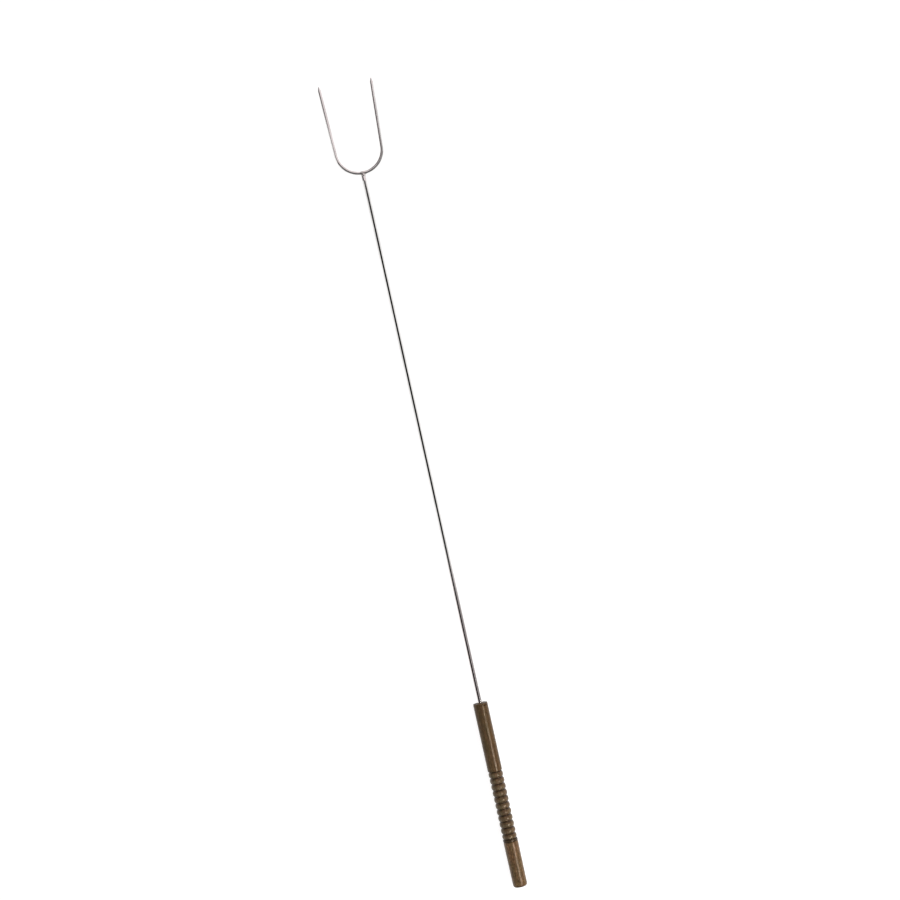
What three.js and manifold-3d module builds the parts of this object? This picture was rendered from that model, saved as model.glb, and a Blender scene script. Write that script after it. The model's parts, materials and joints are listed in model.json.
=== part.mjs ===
// A long marshmallow roasting fork: a turned hardwood handle, a straight steel rod glued
// into it, and one U-bent wire with two ground points, welded across the rod's end.
//
// Lengths are in millimetres. Each piece is drawn along its own +Y, from the handle's butt
// towards the points, with the prongs spread along X. The whole fork is then tilted about X
// until it lies as it does on a table, on the handle's front edge and on the two tines.

import * as THREE from 'three';
import { mergeVertices } from 'three/addons/utils/BufferGeometryUtils.js';
import Module from 'manifold-3d';

const wasm = await Module();
wasm.setup();

// ---- driving dimensions ------------------------------------------------------------------

const handleLength = 242;
const handleRadius = 9.525;          // plain grip ahead of the beads
const frontChamfer = 0.8;
const gripLength = 89.8;             // plain grip, from the front face
const gripRearRounding = 1.5;

const beadCount = 11;
const beadPitch = 8.2;
const lastBeadPitch = 7.1;           // the bead beside the band is narrower
const beadRadius = 9.55;
const beadSquareness = 2.5;          // 2 is a plain arc, more is flatter on top
const grooveRadius = 7.95;           // at the bottom of the grooves between the beads
const grooveHalfWidth = 0.15;

const ringWidth = 3.3;               // narrow band behind the last bead
const ringRadius = 9.65;
const ringRounding = 0.6;
const scoreDepth = 0.45;             // V-groove between the band and the butt section
const scoreWidth = 0.9;
const buttFrontRadius = 9.6;
const buttRadius = 9.3;
const buttRounding = 3.0;

const rodRadius = 3.175;
const rodInHandle = 76;
const rodVisible = 703;              // handle's front face to the prong wire's centre line
const boreRadius = 3.78;
const boreDepth = 78;
const glueGap = 0.1;                 // glue to rod and glue to wood
const glueRecess = 0.5;              // glue stops short of the front face

const wireRadius = 2.38;
const bowRadius = 30.6;              // centre line of the bend
const bowOffset = 0.8;               // the bend's centre sits beside the rod's axis
const leftTineRise = 121.8;          // from the wire's lowest centre line to each point
const rightTineRise = 119;
const leftSplay = THREE.MathUtils.degToRad(1.5);
const rightSplay = THREE.MathUtils.degToRad(3.4);
const pointLength = 5.5;             // ground cone at each end of the wire
const pointTipRadius = 0.45;

const weldGap = 0.3;                 // weld to wire and weld to rod
const weldThickness = 1.7;           // rod's end to the wire's near side
const weldWrap = 1.6;                // how far the weld climbs past the wire's near side
const weldRadius = 3.27;
const weldCrown = 0.45;              // where the weld is widest, as a share of its length

const handleSides = 36;
const beadSteps = 6;
const roundingSteps = 3;
const roundSides = 16;
const wireSides = 12;
const wireSteps = 72;
const bowSteps = 24;

// ---- materials ---------------------------------------------------------------------------

function material(color, roughness, metalness) {
  return new THREE.MeshStandardMaterial({ color, roughness, metalness });
}

const stainedWood = material(0x5d4a35, 0.42, 0);
const platedSteel = material(0xc3c4c6, 0.22, 1);
const platedWire = material(0xcdcecf, 0.2, 1);
const weldMetal = material(0x9d9a96, 0.4, 1);
const clearGlue = material(0xc9b88a, 0.3, 0);

// ---- helpers -----------------------------------------------------------------------------

// A geometry as a manifold solid.
function solid(geometry) {
  const bare = geometry.clone();
  bare.deleteAttribute('normal');
  bare.deleteAttribute('uv');
  const merged = mergeVertices(bare, 1e-4);
  return new wasm.Manifold(new wasm.Mesh({
    numProp: 3,
    vertProperties: new Float32Array(merged.attributes.position.array),
    triVerts: new Uint32Array(merged.index.array),
  }));
}

// A manifold solid as a geometry.
function geometryOf(manifold) {
  const mesh = manifold.getMesh();
  const geometry = new THREE.BufferGeometry();
  geometry.setAttribute('position', new THREE.BufferAttribute(mesh.vertProperties, mesh.numProp));
  geometry.setIndex(new THREE.BufferAttribute(mesh.triVerts, 1));
  geometry.computeVertexNormals();
  return geometry;
}

// A body turned about Y from [radius, y] points.
function turned(points, sides) {
  const profile = points.map(([radius, y]) => new THREE.Vector2(radius, y));
  return new THREE.LatheGeometry(profile, sides);
}

function named(name, geometry, look) {
  const mesh = new THREE.Mesh(geometry, look);
  mesh.name = name;
  return mesh;
}

// ---- handle ------------------------------------------------------------------------------

// The rounded outer edge of a body whose end face is at the given height. The face looks
// towards -Y for end = -1 and towards +Y for end = 1. Points run from low y to high y.
function roundedEdge(radius, face, rounding, end) {
  const points = [];
  for (let i = 0; i <= roundingSteps; i++) {
    const share = i / roundingSteps;
    const angle = (Math.PI / 2) * (end < 0 ? share - 1 : share);
    const centre = face - end * rounding;
    points.push([
      radius - rounding + rounding * Math.cos(angle),
      centre + rounding * Math.sin(angle),
    ]);
  }
  return points;
}

// One bead's crown between two grooves, from its butt side to its front side.
function beadPoints(start, pitch) {
  const halfCrown = pitch / 2 - grooveHalfWidth;
  const points = [];
  for (let i = 0; i <= beadSteps; i++) {
    const across = -Math.cos((Math.PI * i) / beadSteps);
    const height = 1 - Math.abs(across) ** beadSquareness;
    const radius = grooveRadius + (beadRadius - grooveRadius) * height;
    points.push([radius, start + pitch / 2 + halfCrown * across]);
  }
  return points;
}

function handleGeometry() {
  const gripEnd = handleLength - gripLength;
  const beadsLength = (beadCount - 1) * beadPitch + lastBeadPitch;
  const beadsStart = gripEnd - grooveHalfWidth - beadsLength;
  const ringFront = beadsStart - grooveHalfWidth;
  const ringBack = ringFront - ringWidth;
  const points = [
    [0, 0],
    ...roundedEdge(buttRadius, 0, buttRounding, -1),
    [buttFrontRadius, ringBack - scoreWidth],
    [ringRadius - scoreDepth, ringBack - scoreWidth / 2],
    [ringRadius, ringBack],
    ...roundedEdge(ringRadius, ringFront, ringRounding, 1),
    [grooveRadius, ringFront],
  ];
  let beadStart = beadsStart;
  for (let i = 0; i < beadCount; i++) {
    const pitch = i === 0 ? lastBeadPitch : beadPitch;
    points.push(...beadPoints(beadStart, pitch));
    beadStart += pitch;
  }
  points.push(
    [grooveRadius, gripEnd],
    ...roundedEdge(handleRadius, gripEnd, gripRearRounding, -1),
    [handleRadius, handleLength - frontChamfer],
    [handleRadius - frontChamfer, handleLength],
    [boreRadius, handleLength],
    [boreRadius, handleLength - boreDepth],
    [0, handleLength - boreDepth],
  );
  return turned(points, handleSides);
}

// ---- rod and glue ------------------------------------------------------------------------

const wireBottom = handleLength + rodVisible;
const rodEnd = wireBottom - wireRadius - weldThickness;

function rodGeometry() {
  const rodStart = handleLength - rodInHandle;
  const profile = [[0, rodStart], [rodRadius, rodStart], [rodRadius, rodEnd], [0, rodEnd]];
  return turned(profile, roundSides);
}

// The adhesive is a thin sleeve in the annular gap between the rod and the bore.
function glueGeometry() {
  const inner = rodRadius + glueGap;
  const outer = boreRadius - glueGap;
  const back = handleLength - rodInHandle;
  const front = handleLength - glueRecess;
  const profile = [[inner, back], [outer, back], [outer, front], [inner, front], [inner, back]];
  return turned(profile, roundSides);
}

// ---- prong wire --------------------------------------------------------------------------

// The bend, from where it meets the left tine to where it meets the right one.
class Bow extends THREE.Curve {
  getPoint(t, target = new THREE.Vector3()) {
    const start = Math.PI + leftSplay;
    const end = 2 * Math.PI - rightSplay;
    const angle = start + (end - start) * t;
    return target.set(
      bowOffset + bowRadius * Math.cos(angle),
      wireBottom + bowRadius + bowRadius * Math.sin(angle),
      0,
    );
  }
}

// A tine's point, straight on from one end of the bend to its own height above the bottom.
function tinePoint(foot, side, splay, rise) {
  const climb = wireBottom + rise - foot.y;
  return new THREE.Vector3(foot.x + side * climb * Math.tan(splay), foot.y + climb, 0);
}

const bow = new Bow();
const leftFoot = bow.getPoint(0);
const rightFoot = bow.getPoint(1);
const leftPoint = tinePoint(leftFoot, -1, leftSplay, leftTineRise);
const rightPoint = tinePoint(rightFoot, 1, rightSplay, rightTineRise);

function wirePath() {
  const path = new THREE.CurvePath();
  path.add(new THREE.LineCurve3(leftPoint, leftFoot));
  path.add(bow);
  path.add(new THREE.LineCurve3(rightFoot, rightPoint));
  return path;
}

function wireSection(radius) {
  const section = new THREE.Shape();
  for (let i = 0; i < wireSides; i++) {
    const angle = (2 * Math.PI * i) / wireSides;
    const x = radius * Math.cos(angle);
    const y = radius * Math.sin(angle);
    if (i === 0) section.moveTo(x, y);
    else section.lineTo(x, y);
  }
  section.closePath();
  return section;
}

function wireGeometry(radius, path, steps) {
  return new THREE.ExtrudeGeometry(wireSection(radius), { steps, extrudePath: path });
}

// The collar that grinding removes around one point, with a conical hole, turned to the tine.
function grindingCollar(tip, splayAngle) {
  const outside = 2 * wireRadius;
  const geometry = turned([
    [wireRadius, -pointLength],
    [outside, -pointLength],
    [outside, 1],
    [pointTipRadius, 1],
    [pointTipRadius, 0],
    [wireRadius, -pointLength],
  ], wireSides * 2);
  geometry.rotateZ(splayAngle);
  geometry.translate(tip.x, tip.y, tip.z);
  return solid(geometry);
}

function prongGeometry() {
  const wire = solid(wireGeometry(wireRadius, wirePath(), wireSteps));
  const ground = wire
    .subtract(grindingCollar(leftPoint, leftSplay))
    .subtract(grindingCollar(rightPoint, -rightSplay));
  return geometryOf(ground);
}

// ---- weld --------------------------------------------------------------------------------

// The weld fills the step between the rod's end and the wire and climbs a little around it.
function weldGeometry() {
  const back = rodEnd + weldGap;
  const front = wireBottom - wireRadius + weldWrap;
  const middle = back + weldCrown * (front - back);
  const bead = solid(turned([
    [0, back],
    [rodRadius, back],
    [weldRadius, middle],
    [rodRadius, front],
    [0, front],
  ], roundSides));
  const wire = solid(wireGeometry(wireRadius + weldGap, bow, bowSteps));
  return geometryOf(bead.subtract(wire));
}

// ---- assembly ----------------------------------------------------------------------------

const fork = new THREE.Group();
fork.add(
  named('handle', handleGeometry(), stainedWood),
  named('glue_sleeve', glueGeometry(), clearGlue),
  named('rod', rodGeometry(), platedSteel),
  named('weld_bead', weldGeometry(), weldMetal),
  named('prong_wire', prongGeometry(), platedWire),
);

// Lying down, the fork touches at the handle's front edge and just behind the ground points.
const restRun = rodVisible + rightTineRise - pointLength + frontChamfer;
fork.rotation.x = -Math.atan((handleRadius - wireRadius) / restRun);

// The origin is on the table, under the rod's axis, half-way along the fork.
const extent = new THREE.Box3().setFromObject(fork, true);
fork.position.y = -(extent.min.y + extent.max.y) / 2;
fork.position.z = -extent.min.z;

const part = new THREE.Group();
part.add(fork);

export default part;
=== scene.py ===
"""Marshmallow roasting fork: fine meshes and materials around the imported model.

Every piece is drawn in the fork's own frame, in millimetres: X across, Y along the rod from
the handle's butt to the points, Z up through the rod's axis. FORK carries that frame into the
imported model's, in metres, where the fork lies on its handle's front edge and on its tines.
"""

import json
import math
import random

import bpy
from mathutils import Matrix, Vector, noise


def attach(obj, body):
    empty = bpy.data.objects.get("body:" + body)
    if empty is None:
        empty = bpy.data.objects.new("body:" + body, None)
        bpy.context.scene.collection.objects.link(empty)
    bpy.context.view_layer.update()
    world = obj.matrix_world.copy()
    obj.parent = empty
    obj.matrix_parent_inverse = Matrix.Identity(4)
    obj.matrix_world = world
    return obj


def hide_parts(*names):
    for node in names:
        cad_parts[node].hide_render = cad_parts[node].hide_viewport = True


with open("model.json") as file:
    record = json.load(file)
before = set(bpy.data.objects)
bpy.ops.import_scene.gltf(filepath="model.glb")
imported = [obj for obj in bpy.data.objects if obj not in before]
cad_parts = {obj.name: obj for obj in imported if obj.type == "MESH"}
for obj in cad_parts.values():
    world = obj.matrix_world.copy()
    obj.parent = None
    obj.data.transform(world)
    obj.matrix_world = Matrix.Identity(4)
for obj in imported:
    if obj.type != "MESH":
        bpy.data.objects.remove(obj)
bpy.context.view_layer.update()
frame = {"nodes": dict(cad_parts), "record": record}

MM = 0.001
TURN = 2 * math.pi

# ---- the fork's own frame ----------------------------------------------------------------

BUTT_MOUNT = frame["record"]["mounts"][0]
BUTT = Vector(BUTT_MOUNT["pos_m"])
ACROSS = Vector((1, 0, 0))
ALONG = -Vector(BUTT_MOUNT["axis"]).normalized()
UPWARD = ACROSS.cross(ALONG)
FORK = Matrix((ACROSS, ALONG, UPWARD)).transposed().to_4x4()
FORK.translation = BUTT


def node_box(node):
    """A CAD node's lowest and highest corner in the fork's own frame, in millimetres."""
    to_fork = FORK.inverted()
    points = [to_fork @ v.co / MM for v in frame["nodes"][node].data.vertices]
    low = Vector(map(min, *points))
    high = Vector(map(max, *points))
    return low, high


# ---- driving dimensions, in millimetres --------------------------------------------------

HANDLE_LENGTH = node_box("handle")[1].y
GRIP_RADIUS = 9.525
FRONT_ROUNDING = 0.8
GRIP_LENGTH = 89.8
GRIP_REAR_ROUNDING = 1.5

BEAD_COUNT = 11
BEAD_PITCH = 8.2
LAST_BEAD_PITCH = 7.1
BEAD_RADIUS = 9.54
BEAD_SQUARENESS = 2.5
GROOVE_RADIUS = 7.95
GROOVE_HALF_WIDTH = 0.12

BAND_WIDTH = 3.3
BAND_RADIUS = 9.62
BAND_ROUNDING = 0.6
SCORE_DEPTH = 0.45
SCORE_WIDTH = 0.9
BUTT_FRONT_RADIUS = 9.58
BUTT_RADIUS = 9.28
BUTT_ROUNDING = 3.0

BORE_RADIUS = 3.78
BORE_DEPTH = 78
BORE_MOUTH = 0.35

ROD_RADIUS = 3.175
ROD_START, ROD_END = (corner.y for corner in node_box("rod"))

WIRE_RADIUS = 2.38
BOW_RADIUS = 30.6
BOW_OFFSET = 0.8
BOW_BOTTOM = node_box("prong_wire")[0].y + WIRE_RADIUS
LEFT_RISE = 121.8
RIGHT_RISE = 119
LEFT_SPLAY = math.radians(1.5)
RIGHT_SPLAY = math.radians(3.4)
POINT_LENGTH = 5.5
TIP_RADIUS = 0.45

GRIP_BACK = HANDLE_LENGTH - GRIP_LENGTH
LAST_BEAD_FRONT = GRIP_BACK - GROOVE_HALF_WIDTH - (BEAD_COUNT - 1) * BEAD_PITCH
BEADS_BACK = LAST_BEAD_FRONT - LAST_BEAD_PITCH
BAND_FRONT = BEADS_BACK - GROOVE_HALF_WIDTH
BAND_BACK = BAND_FRONT - BAND_WIDTH
BUTT_FRONT = BAND_BACK - SCORE_WIDTH

# ---- mesh helpers ------------------------------------------------------------------------


def mesh_object(name, vertices, faces, place=FORK):
    """A smooth-shaded mesh object from millimetre vertices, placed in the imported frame."""
    mesh = bpy.data.meshes.new(name)
    mesh.from_pydata([Vector(v) * MM for v in vertices], [], faces)
    mesh.shade_smooth()
    mesh.update()
    obj = bpy.data.objects.new(name, mesh)
    bpy.context.scene.collection.objects.link(obj)
    obj.matrix_world = place
    return obj


def rings_to_faces(rings, sides, first=0):
    """Quads between successive rings of vertices, facing outwards for rings drawn along +Y."""
    faces = []
    for ring in range(rings - 1):
        for side in range(sides):
            a = first + ring * sides + side
            b = first + ring * sides + (side + 1) % sides
            faces.append((a, a + sides, b + sides, b))
    return faces


def turned(profile, sides, shift=None):
    """A closed body turned about Y. The profile runs between two points on the axis."""
    vertices = []
    for radius, y in profile[1:-1]:
        for side in range(sides):
            angle = TURN * side / sides
            r, h = shift(angle, radius, y) if shift else (radius, y)
            vertices.append((r * math.cos(angle), h, r * math.sin(angle)))
    rings = len(profile) - 2
    faces = rings_to_faces(rings, sides)
    bottom = len(vertices)
    top = bottom + 1
    vertices += [(0, profile[0][1], 0), (0, profile[-1][1], 0)]
    last = (rings - 1) * sides
    for side in range(sides):
        following = (side + 1) % sides
        faces.append((bottom, side, following))
        faces.append((top, last + following, last + side))
    return vertices, faces


def arc(radius, y, rounding, start, end, steps):
    """Profile points along an arc, with its centre at (radius, y) and angles in degrees."""
    points = []
    for i in range(steps + 1):
        angle = math.radians(start + (end - start) * i / steps)
        points.append((radius + rounding * math.cos(angle), y + rounding * math.sin(angle)))
    return points


def straight(start, end, steps):
    """Profile points strictly between two points."""
    points = []
    for i in range(1, steps):
        share = i / steps
        points.append((
            start[0] + (end[0] - start[0]) * share,
            start[1] + (end[1] - start[1]) * share,
        ))
    return points


# ---- handle ------------------------------------------------------------------------------

HANDLE_SIDES = 120
BEAD_STEPS = 22


def bead_profile(start, pitch, radius):
    """One bead's crown between two grooves."""
    half = pitch / 2 - GROOVE_HALF_WIDTH
    points = []
    for i in range(BEAD_STEPS + 1):
        across = -math.cos(math.pi * i / BEAD_STEPS)
        height = 1 - abs(across) ** BEAD_SQUARENESS
        points.append((
            GROOVE_RADIUS + (radius - GROOVE_RADIUS) * height,
            start + pitch / 2 + half * across,
        ))
    return points


def handle_profile():
    """The turned outline, from the middle of the butt face round to the bottom of the bore."""
    spread = random.Random(11)
    butt_edge = (BUTT_RADIUS - BUTT_ROUNDING, 0)
    points = [(0, 0)] + straight((0, 0), butt_edge, 8)
    points += arc(BUTT_RADIUS - BUTT_ROUNDING, BUTT_ROUNDING, BUTT_ROUNDING, -90, 0, 8)
    butt_front = (BUTT_FRONT_RADIUS, BUTT_FRONT - 0.3)
    points += straight((BUTT_RADIUS, BUTT_ROUNDING), butt_front, 32)
    points += [
        butt_front,
        (BUTT_FRONT_RADIUS - 0.12, BUTT_FRONT),
        (BAND_RADIUS - SCORE_DEPTH, BUTT_FRONT + SCORE_WIDTH * 0.45),
        (BAND_RADIUS - SCORE_DEPTH, BUTT_FRONT + SCORE_WIDTH * 0.55),
    ]
    points += arc(BAND_RADIUS - BAND_ROUNDING, BAND_BACK + BAND_ROUNDING, BAND_ROUNDING, -80, 0, 6)
    points += arc(BAND_RADIUS - BAND_ROUNDING, BAND_FRONT - BAND_ROUNDING, BAND_ROUNDING, 0, 80, 6)
    start = BEADS_BACK
    for bead in range(BEAD_COUNT):
        pitch = BEAD_PITCH if bead else LAST_BEAD_PITCH
        radius = BEAD_RADIUS + spread.uniform(-0.07, 0.0)
        points += bead_profile(start + spread.uniform(-0.08, 0.08), pitch, radius)
        start += pitch
    points += arc(GRIP_RADIUS - GRIP_REAR_ROUNDING, GRIP_BACK + GRIP_REAR_ROUNDING,
                  GRIP_REAR_ROUNDING, -85, 0, 10)
    grip_front = (GRIP_RADIUS, HANDLE_LENGTH - FRONT_ROUNDING)
    points += straight((GRIP_RADIUS, GRIP_BACK + GRIP_REAR_ROUNDING), grip_front, 48)
    points += arc(GRIP_RADIUS - FRONT_ROUNDING, HANDLE_LENGTH - FRONT_ROUNDING,
                  FRONT_ROUNDING, 0, 90, 7)
    face_edge = (GRIP_RADIUS - FRONT_ROUNDING, HANDLE_LENGTH)
    mouth = (BORE_RADIUS + BORE_MOUTH, HANDLE_LENGTH)
    points += straight(face_edge, mouth, 6) + [mouth]
    bore = [(BORE_RADIUS, HANDLE_LENGTH - BORE_MOUTH), (BORE_RADIUS, HANDLE_LENGTH - BORE_DEPTH)]
    points += bore + [(0, HANDLE_LENGTH - BORE_DEPTH)]
    return points


def turning_marks(angle, radius, y):
    """Hand turning leaves the outside a few hundredths of a millimetre out of true."""
    if radius <= BORE_RADIUS + BORE_MOUTH:
        return radius, y
    around = Vector((math.cos(angle), math.sin(angle), 0))
    wobble = noise.noise(around * 0.8 + Vector((0, 0, y * 0.03)))
    ripple = noise.noise(around * 0.3 + Vector((0, 0, y * 0.9 + 40)))
    dents = noise.noise(around * 3.0 + Vector((0, 0, y * 0.25 + 90)))
    inward = -0.03 - 0.03 * wobble - 0.015 * ripple + 0.04 * min(0.0, dents + 0.35)
    share = radius / GRIP_RADIUS
    return radius + inward * share, y


def make_handle():
    vertices, faces = turned(handle_profile(), HANDLE_SIDES, turning_marks)
    return mesh_object("handle_turned", vertices, faces)


# ---- rod and glue ------------------------------------------------------------------------

ROD_SIDES = 48
ROD_EDGE = 0.25


def make_rod():
    front = ROD_END + 0.3
    inner = (ROD_RADIUS, ROD_START + ROD_EDGE)
    outer = (ROD_RADIUS, front - ROD_EDGE)
    profile = [(0, ROD_START), (ROD_RADIUS - ROD_EDGE, ROD_START), inner]
    profile += straight(inner, outer, 120)
    profile += [outer, (ROD_RADIUS - ROD_EDGE, front), (0, front)]
    vertices, faces = turned(profile, ROD_SIDES)
    return mesh_object("rod_drawn", vertices, faces)


def make_glue():
    """The adhesive round the rod, ending in a hollow fillet at the bore's mouth."""
    inner = ROD_RADIUS + 0.02
    outer = BORE_RADIUS - 0.02
    top = HANDLE_LENGTH - 0.12
    loop = [(inner, ROD_START + 1), (outer, ROD_START + 1), (outer, top)]
    steps = 8
    for i in range(1, steps + 1):
        share = i / steps
        sag = 0.55 * share ** 2.2 - 0.25 * math.sin(math.pi * share)
        loop.append((outer + (inner - outer) * share, top + sag))
    sides = 48
    vertices = []
    for radius, y in loop:
        for side in range(sides):
            angle = TURN * side / sides
            lift = 0.12 * noise.noise(Vector((math.cos(angle), math.sin(angle), 5.0)))
            h = y + lift if y > top else y
            vertices.append((radius * math.cos(angle), h, radius * math.sin(angle)))
    faces = rings_to_faces(len(loop), sides)
    last = (len(loop) - 1) * sides
    for side in range(sides):
        following = (side + 1) % sides
        faces.append((last + side, side, following, last + following))
    return mesh_object("glue_fillet", vertices, faces)


# ---- prong wire --------------------------------------------------------------------------

WIRE_SIDES = 40


def bow_point(angle):
    """A point on the bend's centre line; 0 points to +X and a quarter turn to +Y."""
    return Vector((
        BOW_OFFSET + BOW_RADIUS * math.cos(angle),
        BOW_BOTTOM + BOW_RADIUS + BOW_RADIUS * math.sin(angle),
        0,
    ))


def tine_stations(foot, direction, rise):
    """Centre points and radii up one tine, ending in the ground point."""
    length = (BOW_BOTTOM + rise - foot.y) / direction.y
    shoulder = length - POINT_LENGTH
    stations = []
    steps = 30
    for i in range(1, steps + 1):
        stations.append((foot + direction * (shoulder * i / steps), WIRE_RADIUS))
    for share, radius in ((0.02, 0.985), (0.06, 0.955), (0.3, 0.74), (0.6, 0.45), (0.9, 0.185)):
        stations.append((foot + direction * (shoulder + POINT_LENGTH * share),
                         TIP_RADIUS + (WIRE_RADIUS - TIP_RADIUS) * radius))
    stations.append((foot + direction * (length - 0.08), TIP_RADIUS))
    stations.append((foot + direction * length, TIP_RADIUS * 0.5))
    return stations


def wire_stations():
    """The whole wire's centre points and radii, from the left point to the right one."""
    start = math.pi + LEFT_SPLAY
    end = TURN - RIGHT_SPLAY
    left_up = Vector((-math.sin(LEFT_SPLAY), math.cos(LEFT_SPLAY), 0))
    right_up = Vector((math.sin(RIGHT_SPLAY), math.cos(RIGHT_SPLAY), 0))
    left = tine_stations(bow_point(start), left_up, LEFT_RISE)
    right = tine_stations(bow_point(end), right_up, RIGHT_RISE)
    steps = 72
    bend = []
    for i in range(steps + 1):
        bend.append((bow_point(start + (end - start) * i / steps), WIRE_RADIUS))
    return left[::-1] + bend + right


def swept(stations, sides):
    """A closed tube along a flat path, with each vertex's place along the path."""
    vertices = []
    travel = []
    total = 0.0
    for i, (centre, radius) in enumerate(stations):
        before = stations[max(i - 1, 0)][0]
        after = stations[min(i + 1, len(stations) - 1)][0]
        total += (centre - before).length
        forward = (after - before).normalized()
        side_way = forward.cross(Vector((0, 0, 1)))
        for side in range(sides):
            angle = TURN * side / sides
            offset = side_way * math.cos(angle) + Vector((0, 0, 1)) * math.sin(angle)
            vertices.append(centre + offset * radius)
            travel.append(total)
    faces = rings_to_faces(len(stations), sides)
    last = (len(stations) - 1) * sides
    faces.append(tuple(range(sides)))
    faces.append(tuple(last + side for side in reversed(range(sides))))
    return vertices, faces, travel


def make_prongs():
    vertices, faces, travel = swept(wire_stations(), WIRE_SIDES)
    obj = mesh_object("prongs_bent", vertices, faces)
    layer = obj.data.uv_layers.new(name="wire")
    for loop in obj.data.loops:
        side = loop.vertex_index % WIRE_SIDES
        layer.data[loop.index].uv = (side / WIRE_SIDES, travel[loop.vertex_index] * MM)
    return obj


# ---- weld --------------------------------------------------------------------------------

WELD_VOXEL = 0.16
WELD_ON_ROD = 6.0                 # from the bend's centre line back along the rod
WELD_ON_WIRE = 5.2                # each way along the bend
WELD_SETTLING = 14


def make_weld():
    """The rod's end, the wire and the upset metal between them, grown into one smooth fillet.

    Its ends are thinner than the rod and the wire, so that they sink under the plated surfaces.
    """
    vertices = []
    faces = []

    def include(more_vertices, more_faces):
        first = len(vertices)
        vertices.extend(more_vertices)
        faces.extend(tuple(first + v for v in face) for face in more_faces)

    back = BOW_BOTTOM - WELD_ON_ROD
    collar = [(0, back), (ROD_RADIUS - 0.35, back), (ROD_RADIUS - 0.1, back + 1.2),
              (ROD_RADIUS + 0.1, BOW_BOTTOM - 3.1), (ROD_RADIUS - 0.1, BOW_BOTTOM - 1.6),
              (ROD_RADIUS - 1.2, BOW_BOTTOM - 0.2), (0, BOW_BOTTOM)]
    include(*turned(collar, 40))
    reach = math.asin(WELD_ON_WIRE / BOW_RADIUS)
    bottom = 1.5 * math.pi
    steps = 12
    stub = []
    for i in range(steps + 1):
        angle = bottom - reach + 2 * reach * i / steps
        swelling = 1 - abs(2 * i / steps - 1) ** 2
        stub.append((bow_point(angle), WIRE_RADIUS - 0.3 + 0.6 * swelling))
    stub_vertices, stub_faces, _ = swept(stub, 32)
    include(stub_vertices, stub_faces)

    obj = mesh_object("weld_fillet", [Vector(v) / MM for v in vertices], faces)
    remesh = obj.modifiers.new("grow", "REMESH")
    remesh.mode = "VOXEL"
    remesh.voxel_size = WELD_VOXEL
    smooth = obj.modifiers.new("settle", "SMOOTH")
    smooth.iterations = WELD_SETTLING
    smooth.factor = 0.5
    graph = bpy.context.evaluated_depsgraph_get()
    grown = bpy.data.meshes.new_from_object(obj.evaluated_get(graph))
    obj.modifiers.clear()
    for vertex in grown.vertices:
        lump = noise.noise(vertex.co * 0.9)
        vertex.co += vertex.normal * (0.05 + 0.05 * lump)
    grown.transform(Matrix.Scale(MM, 4))
    grown.shade_smooth()
    obj.data = grown
    return obj


# ---- material helpers --------------------------------------------------------------------


class Nodes:
    """Short calls for building a node tree."""

    def __init__(self, tree):
        self.tree = tree

    def add(self, kind, inputs=None, **settings):
        node = self.tree.nodes.new("ShaderNode" + kind)
        for key, value in settings.items():
            setattr(node, key, value)
        for key, value in (inputs or {}).items():
            self.feed(node.inputs[key], value)
        return node

    def feed(self, socket, value):
        """Links a socket, or sets a plain value."""
        if isinstance(value, bpy.types.NodeSocket):
            self.tree.links.new(value, socket)
        else:
            socket.default_value = value

    def noise(self, vector, scale, detail=3.0, roughness=0.5):
        inputs = {"Vector": vector, "Scale": scale, "Detail": detail, "Roughness": roughness}
        return self.add("TexNoise", inputs).outputs["Fac"]

    def math(self, operation, a, b=0.0, clamp=False):
        node = self.add("Math", {0: a, 1: b}, operation=operation, use_clamp=clamp)
        return node.outputs[0]

    def span(self, value, low, high, new_low=0.0, new_high=1.0, smooth=True):
        """Maps low..high to new_low..new_high, clamped."""
        inputs = {"Value": value, "From Min": low, "From Max": high,
                  "To Min": new_low, "To Max": new_high}
        kind = "SMOOTHSTEP" if smooth else "LINEAR"
        return self.add("MapRange", inputs, interpolation_type=kind).outputs["Result"]

    def blend(self, factor, a, b):
        """A number between a and b."""
        return self.add("Mix", {"Factor": factor, "A": a, "B": b}).outputs["Result"]

    def mix(self, factor, a, b, blend="MIX"):
        node = self.add("Mix", data_type="RGBA", blend_type=blend)
        self.feed(node.inputs["Factor"], factor)
        self.feed(node.inputs["A"], a)
        self.feed(node.inputs["B"], b)
        return node.outputs["Result"]

    def bump(self, height, distance, strength=1.0, below=None):
        inputs = {"Height": height, "Distance": distance * MM, "Strength": strength}
        if below is not None:
            inputs["Normal"] = below
        return self.add("Bump", inputs).outputs["Normal"]


class Shader(Nodes):
    """The nodes of one material with a single surface shader."""

    def __init__(self, name):
        self.material = bpy.data.materials.new(name)
        self.material.use_nodes = True
        super().__init__(self.material.node_tree)
        self.surface = self.tree.nodes["Principled BSDF"]

    def set(self, **inputs):
        """Feeds the surface's sockets; an underscore stands for a space."""
        for key, value in inputs.items():
            self.feed(self.surface.inputs[key.replace("_", " ")], value)

    def coordinates(self, scale=(1, 1, 1)):
        """The object's own coordinates in millimetres, stretched by a scale."""
        source = self.add("TexCoord").outputs["Object"]
        factor = [s / MM for s in scale]
        mapping = self.add("Mapping", {"Vector": source, "Scale": factor})
        return mapping.outputs["Vector"]


def rgb(red, green, blue):
    return (red, green, blue, 1.0)


# ---- materials ---------------------------------------------------------------------------

WOOD_DARK = rgb(0.050, 0.033, 0.0166)
WOOD_LIGHT = rgb(0.144, 0.094, 0.052)
BUTT_WOOD_DARK = rgb(0.063, 0.039, 0.0185)
BUTT_WOOD_LIGHT = rgb(0.192, 0.119, 0.063)
PLATING = (0.86, 0.85, 0.84)
WELD_METAL = (0.74, 0.72, 0.70)


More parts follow.
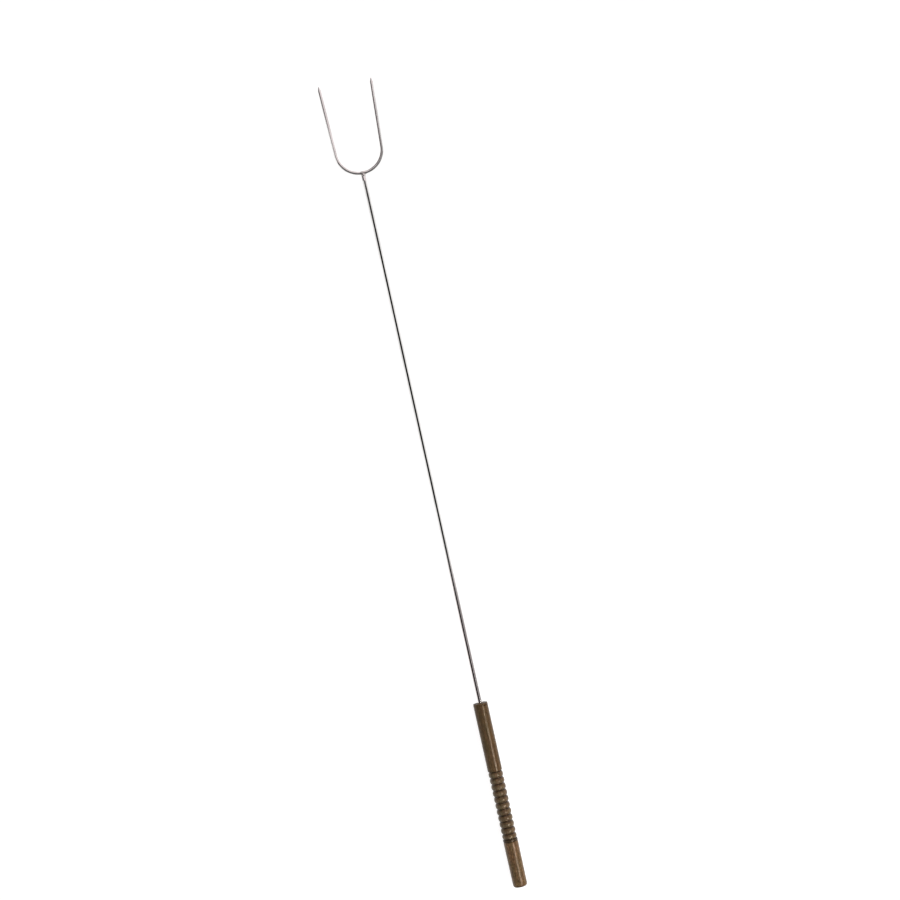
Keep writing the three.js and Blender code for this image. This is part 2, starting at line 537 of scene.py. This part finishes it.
class Wood(Shader):
    """Dark-stained, lacquered hardwood. Its layers share the masks that are made here."""

    def __init__(self):
        super().__init__("stained_wood")
        self.plain = self.coordinates()
        place = self.add("SeparateXYZ", {"Vector": self.plain})
        self.x, self.y, self.z = (place.outputs[i] for i in range(3))
        squares = self.math("ADD", self.square(self.x), self.square(self.z))
        self.radius = self.math("SQRT", squares)

        self.fibres = self.stretched_noise(0.035, 2.4, detail=6.0, roughness=0.62)
        self.streaks = self.stretched_noise(0.02, 0.55, detail=3.0)
        self.pores = self.span(self.stretched_noise(0.055, 5.2, detail=1.0), 0.62, 0.74)

        # Where along the handle: the butt section, the rings, the front face and both ends.
        self.butt_part = self.span(self.y, BAND_BACK + 0.2, BAND_BACK - 0.5)
        self.on_bead = self.math("MULTIPLY", self.span(self.y, BEADS_BACK, BEADS_BACK + 1),
                                 self.span(self.y, GRIP_BACK, GRIP_BACK - 1))
        self.front_face = self.span(self.y, HANDLE_LENGTH - 0.5, HANDLE_LENGTH - 0.1)
        butt_face = self.span(self.y, 2.6, 0.3)
        self.ends = self.math("ADD", self.math("MULTIPLY", self.front_face, 0.75),
                              self.math("MULTIPLY", butt_face, 0.5))

    def square(self, value):
        return self.math("MULTIPLY", value, value)

    def stretched_noise(self, along, scale, detail, roughness=0.5):
        """Noise drawn out along the grain; a smaller share along gives longer streaks."""
        return self.noise(self.coordinates((1, along, 1)), scale, detail, roughness)

    def by_section(self, ahead, behind):
        """A number that differs between the butt section and all that is ahead of it."""
        return self.span(self.butt_part, 0.0, 1.0, ahead, behind, smooth=False)

    def grain(self):
        """The stained wood's colour: growth rings and fibres, with a warmer, darker right side
        that is painted shade.
        """
        # Growth rings: bands across the plank the dowel was cut from, bent by a slow noise.
        drift = self.stretched_noise(0.045, 0.16, detail=2.0)
        plank = self.math("ADD", self.math("MULTIPLY", self.x, 0.75),
                          self.math("MULTIPLY", self.z, 0.66))
        ring_place = self.math("ADD", self.math("MULTIPLY", plank, 0.42),
                               self.math("MULTIPLY", drift, 7.0))
        rings = self.span(self.math("SINE", self.math("MULTIPLY", ring_place, TURN)), -0.6, 1.0)

        grain = self.math("ADD", self.math("MULTIPLY", self.fibres, 1.0),
                          self.math("MULTIPLY", self.streaks, 0.55))
        grain = self.math("ADD", grain, self.math("MULTIPLY", rings, -0.10))
        shade = self.span(grain, 0.44, 1.02, smooth=False)
        dark = self.mix(self.butt_part, WOOD_DARK, BUTT_WOOD_DARK)
        light = self.mix(self.butt_part, WOOD_LIGHT, BUTT_WOOD_LIGHT)
        colour = self.mix(shade, dark, light)

        # Painted shade: the right side (x above zero) is tinted warmer and a little darker, as the
        # light falls there.
        right_side_place = self.math("ADD", self.x, self.math("MULTIPLY", self.streaks, 6.0))
        painted_right_shade = self.span(right_side_place, 0.0, 8.0, 0.0, 0.6)
        return self.mix(painted_right_shade, colour, rgb(0.95, 0.80, 0.61), "MULTIPLY")

    def uneven_stain(self, colour):
        """The stain took unevenly, most of all on the butt section."""
        speckle = self.stretched_noise(0.6, 0.5, detail=5.0, roughness=0.65)
        uneven = self.by_section(0.30, 0.85)
        blotch = self.math("MULTIPLY", self.span(speckle, 0.50, 0.66),
                           self.math("MULTIPLY", uneven, 0.75))
        colour = self.mix(blotch, colour, rgb(0.27, 0.165, 0.082))
        patch = self.math("MULTIPLY", self.span(speckle, 0.48, 0.36),
                          self.math("MULTIPLY", uneven, 0.8))
        colour = self.mix(patch, colour, rgb(0.030, 0.018, 0.009))
        hue = self.span(self.stretched_noise(0.15, 0.30, detail=3.0), 0.36, 0.62)
        greener = self.mix(1.0, colour, rgb(0.95, 1.02, 0.91), "MULTIPLY")
        redder = self.mix(1.0, colour, rgb(1.06, 0.97, 0.92), "MULTIPLY")
        colour = self.mix(hue, greener, redder)
        return self.mix(self.math("MULTIPLY", self.pores, 0.62), colour, rgb(0.016, 0.010, 0.006))

    def beads_and_band(self, colour):
        """The beads' crowns are rubbed paler and carry a painted sheen, and the narrow band is
        stained dark.
        """
        # Partly real wear, partly a painted sheen: each crown, just to the butt side of its
        # middle, is made paler and greyer.
        beads = self.math("DIVIDE", self.math("SUBTRACT", self.y, LAST_BEAD_FRONT), BEAD_PITCH)
        from_crown = self.math("ABSOLUTE", self.math("SUBTRACT", self.math("FRACT", beads), 0.42))
        worn_crown_and_sheen = self.math("MULTIPLY", self.span(from_crown, 0.40, 0.05), self.on_bead)
        colour = self.mix(worn_crown_and_sheen, colour, rgb(1.16, 1.34, 1.57), "MULTIPLY")
        band_middle = (BAND_FRONT + BAND_BACK) / 2
        band_place = self.math("ABSOLUTE", self.math("SUBTRACT", self.y, band_middle))
        band = self.span(band_place, BAND_WIDTH / 2 + 0.5, BAND_WIDTH / 2 - 0.1)
        return self.mix(self.math("MULTIPLY", band, 0.7), colour, rgb(0.022, 0.015, 0.0085))

    def grooves_and_rim(self, colour):
        """Painted shade darkens the grooves; the front rim is rubbed paler."""
        ahead_of_butt = self.span(self.y, BAND_BACK - 1.2, BAND_BACK - 0.2)
        outside = self.math("SUBTRACT", ahead_of_butt, self.front_face, clamp=True)
        # Painted shade: the deeper into a groove, the darker, ahead of the butt section and off
        # the front face.
        groove_shade = self.span(self.radius, GROOVE_RADIUS - 0.1, BEAD_RADIUS - 0.25, 0.80, 0.0)
        colour = self.mix(self.math("MULTIPLY", groove_shade, outside), colour, rgb(0.012, 0.008, 0.005))
        scuff = self.span(self.noise(self.plain, 0.8, detail=4.0), 0.42, 0.62)
        front_edge = self.span(self.y, HANDLE_LENGTH - 1.2, HANDLE_LENGTH - 0.4)
        rim = self.span(self.radius, GRIP_RADIUS - 1.0, GRIP_RADIUS - 0.3)
        wear = self.math("MULTIPLY", self.math("MULTIPLY", front_edge, rim), scuff)
        return self.mix(self.math("MULTIPLY", wear, 0.4), colour, rgb(0.24, 0.15, 0.085))

    def rim_shade_and_end_stain(self, colour):
        """Painted shade in a faint broken line behind the front rim, and stain soaked into the end
        grain.
        """
        # Painted shade: a faint broken dark line about 3 mm behind the front rim.
        line_place = self.math("ABSOLUTE", self.math("SUBTRACT", self.y, HANDLE_LENGTH - 3.0))
        breaks = self.span(self.stretched_noise(0.3, 0.35, detail=3.0), 0.44, 0.58)
        line = self.math("MULTIPLY", self.span(line_place, 1.1, 0.4), breaks)
        colour = self.mix(self.math("MULTIPLY", line, 0.75), colour, rgb(0.022, 0.013, 0.007))
        end_pores = self.span(self.noise(self.plain, 3.6, detail=2.0), 0.30, 0.60, 0.3, 1.0)
        drunk = self.math("MULTIPLY", self.ends, end_pores)
        return self.mix(drunk, colour, rgb(0.018, 0.012, 0.008))

    def roughness(self):
        """The lacquer is a little duller on the butt section and dull on the end grain."""
        patches = self.span(self.stretched_noise(0.3, 1.1, detail=3.0), 0.3, 0.7, -0.06, 0.09)
        lacquer = self.blend(self.on_bead, self.by_section(0.21, 0.31), 0.26)
        roughness = self.math("ADD", lacquer, patches)
        return self.math("ADD", roughness, self.math("MULTIPLY", self.ends, 0.3))

    def shine(self):
        """How strongly the lacquer reflects."""
        shine = self.blend(self.on_bead, self.by_section(0.22, 0.34), 0.40)
        return self.math("MULTIPLY", shine, self.span(self.front_face, 0.0, 1.0, 1.0, 0.5))

    def relief(self):
        """Open fibres and pores, over the faint lines of the turning tool."""
        lines = self.math("SUBTRACT", self.fibres, self.math("MULTIPLY", self.pores, 0.8))
        tool = self.noise(self.coordinates((0.05, 1, 0.05)), 3.0, detail=2.0)
        return self.bump(tool, 0.012, below=self.bump(lines, 0.045))


def stained_wood():
    wood = Wood()
    colour = wood.grain()
    for layer in (wood.uneven_stain, wood.beads_and_band, wood.grooves_and_rim, wood.rim_shade_and_end_stain):
        colour = layer(colour)
    wood.set(Base_Color=colour, Roughness=wood.roughness(), Normal=wood.relief(),
             Specular_IOR_Level=wood.shine(), Specular_Tint=rgb(1.0, 0.80, 0.64))
    return wood.material


def plated_steel(name, tint, along):
    """Bright nickel plating over drawn steel. along gives coordinates stretched down the wire."""
    s = Shader(name)
    drawn = s.noise(along(s), 1.0, detail=5.0, roughness=0.6)
    cloud = s.noise(s.coordinates((1, 0.25, 1)), 0.18, detail=3.0)
    specks = s.span(s.noise(s.coordinates(), 2.2, detail=2.0), 0.66, 0.76)
    dull = [channel * 0.86 for channel in tint]
    colour = s.mix(s.span(cloud, 0.3, 0.7), rgb(*tint), rgb(*dull))
    colour = s.mix(s.math("MULTIPLY", specks, 0.35), colour, rgb(0.25, 0.235, 0.22))
    roughness = s.span(drawn, 0.3, 0.7, 0.05, 0.11)
    roughness = s.math("ADD", roughness, s.math("MULTIPLY", specks, 0.15))
    s.set(Base_Color=colour, Roughness=roughness, Metallic=1.0, Normal=s.bump(drawn, 0.006))
    return s


def rod_steel():
    def lengthwise(s):
        return s.coordinates((6, 0.02, 6))

    return plated_steel("plated_rod", PLATING, lengthwise).material


def wire_steel():
    def around(s):
        uv = s.add("UVMap", uv_map="wire").outputs["UV"]
        return s.add("Mapping", {"Vector": uv, "Scale": (70, 60, 1)}).outputs["Vector"]

    return plated_steel("plated_wire", PLATING, around).material


def weld_steel():
    def every_way(s):
        return s.coordinates((2, 2, 2))

    return plated_steel("weld_metal", WELD_METAL, every_way).material


def hardened_glue():
    s = Shader("clear_glue")
    mottle = s.noise(s.coordinates(), 1.4, detail=3.0)
    colour = s.mix(mottle, rgb(0.16, 0.10, 0.045), rgb(0.34, 0.23, 0.11))
    s.set(Base_Color=colour, Roughness=s.span(mottle, 0.3, 0.7, 0.30, 0.45),
          Specular_IOR_Level=0.25)
    return s.material


def pale_floor():
    s = Shader("pale_floor")
    tone = s.noise(s.add("TexCoord").outputs["Object"], 1.5, detail=2.0)
    s.set(Base_Color=s.mix(tone, rgb(0.38, 0.38, 0.38), rgb(0.40, 0.40, 0.40)), Roughness=0.8,
          Emission_Color=rgb(1, 1, 1), Emission_Strength=0.90)
    return s.material


# ---- camera, floor and light -------------------------------------------------------------

CAMERA_LENS = 66
CAMERA_ABOVE = 2.1435
CAMERA_ACROSS = 0.0327
CAMERA_ALONG = 0.5698
CAMERA_TURN = math.radians(-12.48)


def make_camera():
    data = bpy.data.cameras.new("camera")
    data.lens = CAMERA_LENS
    data.sensor_width = 36
    camera = bpy.data.objects.new("camera", data)
    camera.location = (BUTT.x + CAMERA_ACROSS, BUTT.y + CAMERA_ALONG, CAMERA_ABOVE)
    camera.rotation_euler = (0, 0, CAMERA_TURN)
    bpy.context.scene.collection.objects.link(camera)
    bpy.context.scene.camera = camera


def make_floor():
    half = 4000
    corners = [(-half, -half, 0), (half, -half, 0), (half, half, 0), (-half, half, 0)]
    floor = mesh_object("floor", corners, [(0, 1, 2, 3)], Matrix.Translation((0, 0, -0.0002)))
    floor.data.materials.append(pale_floor())


def softbox(name, location, target, width, length, radiance, colour, grid):
    """A rectangular light whose grid keeps its light within an angle, in degrees, of a target."""
    grid = math.radians(grid)
    data = bpy.data.lights.new(name, "AREA")
    data.shape = "RECTANGLE"
    data.size = width
    data.size_y = length
    data.spread = 2 * grid
    let_through = 1 - grid / math.tan(grid)
    data.energy = radiance * math.pi * width * length * let_through
    data.color = colour
    light = bpy.data.objects.new(name, data)
    light.location = location
    back = (Vector(location) - Vector(target)).normalized()
    side = Vector((0, 1, 0)).cross(back).normalized()
    light.rotation_euler = Matrix((side, back.cross(side), back)).transposed().to_euler()
    bpy.context.scene.collection.objects.link(light)


WALL_RADIANCE = 1.05
CEILING_RADIANCE = 0.0
HANDLE_END_RADIANCE = 0.38
FAR_END_RADIANCE = 0.05
POINTS_LEFT_RADIANCE = 0.04
POINTS_RIGHT_RADIANCE = 0.9
NEAR_WALL_DIMMING = 0.7
NEAR_CEILING_LEAN = 0.38
PINK_BOUNCE = rgb(1, 0.90, 0.91)


def studio_dome():
    """A white studio with a dark ceiling, and other walls beyond the fork's two ends.

    In a direction, y says how far it points along the fork, z how far up, and lean is its angle
    from overhead, in radians, positive to the right.
    """
    world = bpy.data.worlds.new("studio")
    world.use_nodes = True
    bpy.context.scene.world = world
    n = Nodes(world.node_tree)
    direction = n.add("SeparateXYZ", {"Vector": n.add("TexCoord").outputs["Generated"]})
    x, y, z = (direction.outputs[i] for i in range(3))
    lean = n.math("ARCTAN2", x, z)

    # Near the handle the dark ceiling lies to the left only and the right wall is grey.
    near = n.span(y, -0.08, -0.04, 1.0, 0.0)
    ceiling_lean = n.math("MULTIPLY", near, NEAR_CEILING_LEAN)
    from_middle = n.math("ABSOLUTE", n.math("ADD", lean, ceiling_lean))
    studio = n.span(from_middle, 0.60, 0.87, CEILING_RADIANCE, WALL_RADIANCE)
    right = n.math("MULTIPLY", near, n.span(lean, -0.05, 0.25, 0.0, WALL_RADIANCE))
    studio = n.math("MAXIMUM", studio, right)
    grey = n.math("MULTIPLY", near, n.span(lean, -0.1, 0.1, 0.0, NEAR_WALL_DIMMING))
    studio = n.math("MULTIPLY", studio, n.math("SUBTRACT", 1.0, grey))

    # Behind the handle, far behind it, and beyond the points, where only the left is dark.
    handle_end = n.span(y, -0.19, -0.16, 1.0, 0.0)
    studio = n.blend(handle_end, studio, HANDLE_END_RADIANCE)
    studio = n.blend(n.span(y, -0.45, -0.33, 1.0, 0.0), studio, FAR_END_RADIANCE)
    points_end = n.span(y, 0.190, 0.201)
    points_wall = n.span(lean, -0.45, -0.15, POINTS_LEFT_RADIANCE, POINTS_RIGHT_RADIANCE)
    studio = n.blend(points_end, studio, points_wall)
    studio = n.blend(n.span(z, 0.0, 0.1), WALL_RADIANCE, studio)

    pink = n.math("MAXIMUM", points_end, n.math("SUBTRACT", near, handle_end))
    background = n.tree.nodes["Background"]
    n.feed(background.inputs["Color"], n.mix(pink, rgb(1, 1, 1), PINK_BOUNCE))
    n.feed(background.inputs["Strength"], studio)


def light_studio():
    studio_dome()
    softbox("key_right", location=(0.94, -0.83, 1.5), target=(0, -0.45, 0), width=0.34,
            length=0.50, radiance=47.0, colour=(1, 0.985, 0.95), grid=17.5)
    softbox("butt_light", location=(0.28, -1.55, 0.95), target=(0, -0.42, 0), width=0.40,
            length=0.22, radiance=22.0, colour=(1, 0.98, 0.94), grid=9)
    bpy.context.scene.view_settings.view_transform = "Standard"


# ---- assembly ----------------------------------------------------------------------------


def install(piece, node, material):
    """Shows a fine piece in a CAD node's place."""
    piece.data.materials.clear()
    piece.data.materials.append(material)
    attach(piece, "root")
    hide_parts(node)


make_camera()
make_floor()
light_studio()
install(make_handle(), "handle", stained_wood())
install(make_rod(), "rod", rod_steel())
install(make_glue(), "glue_sleeve", hardened_glue())
install(make_prongs(), "prong_wire", wire_steel())
install(make_weld(), "weld_bead", weld_steel())
